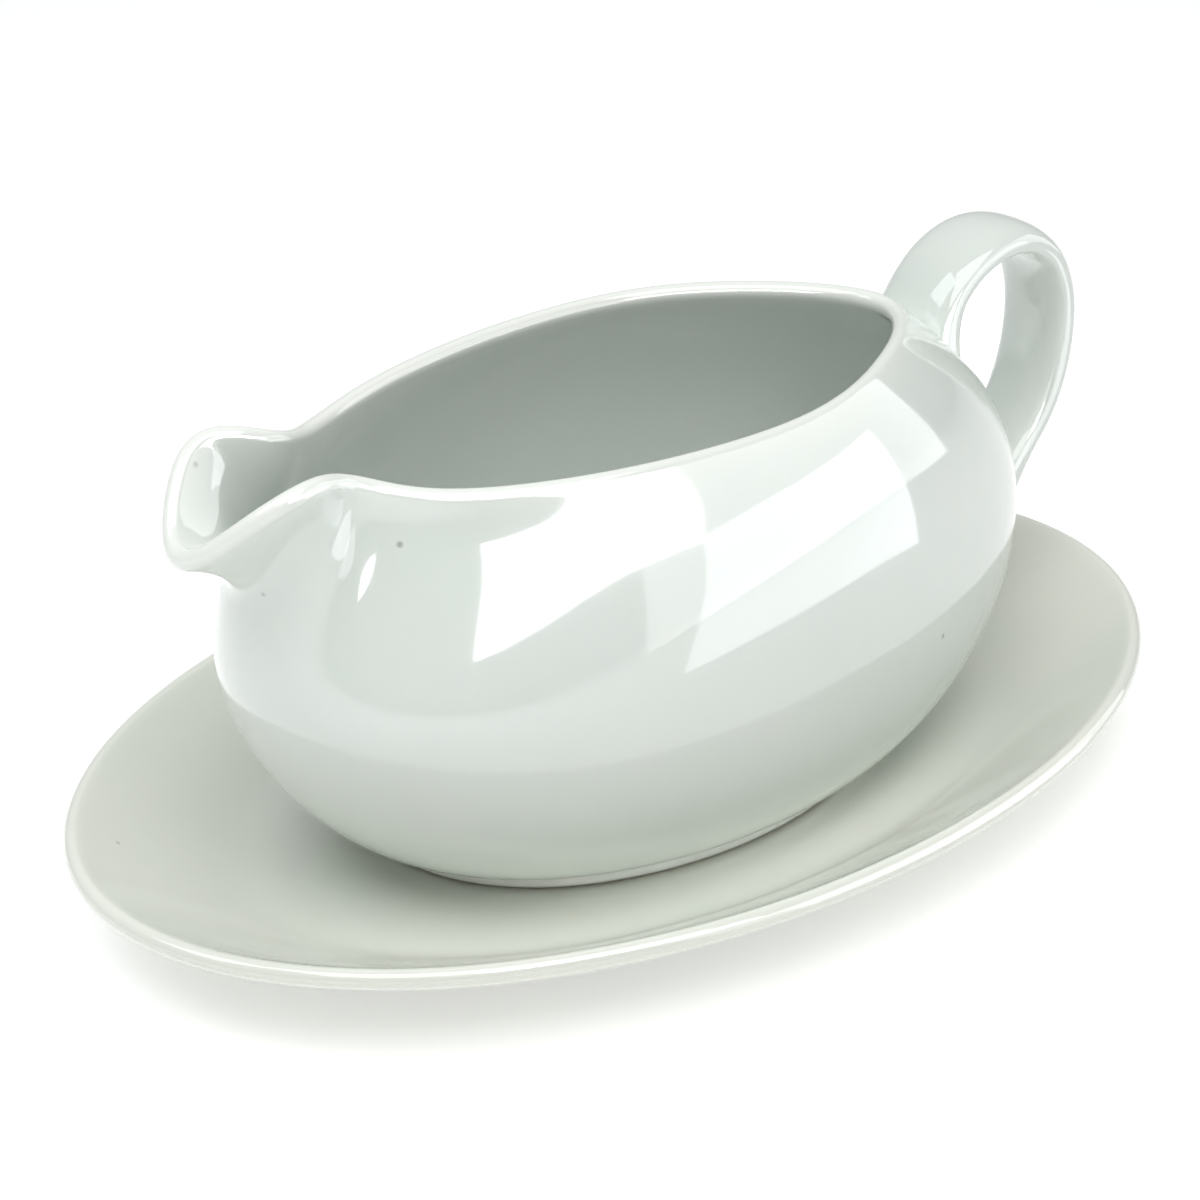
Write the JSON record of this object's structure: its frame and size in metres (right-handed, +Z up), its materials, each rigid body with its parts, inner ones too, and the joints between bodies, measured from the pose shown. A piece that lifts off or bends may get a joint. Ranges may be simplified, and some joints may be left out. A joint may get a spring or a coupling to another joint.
{
  "type": "gravy boat",
  "caption": "Deep oval porcelain sauce boat with a flared pouring lip and a strap handle, standing on a shallow oval stand.",
  "frame": {"origin": "bottom centre of the whole set: the middle of the stand's foot ring, on the table plane", "axes": "+X from the spout to the handle along the long axis, +Y to the left when looking along +X, +Z up"},
  "size_m": [0.235, 0.154, 0.0973],
  "materials": {
    "boat_porcelain": "clear glossy glaze over white porcelain",
    "handle_porcelain": "clear glossy glaze over white porcelain",
    "stand_porcelain": "clear glossy glaze over white porcelain, slightly warmer"
  },
  "bodies": {
    "stand": {"stand": "stand_porcelain"},
    "boat": {"boat_body": "boat_porcelain", "handle": "handle_porcelain"}
  },
  "joints": [
    {"name": "boat_lift", "type": "slide", "parent": "stand", "child": "boat", "axis": [0, 0, 1], "range_m": [0, 0.1]}
  ]
}
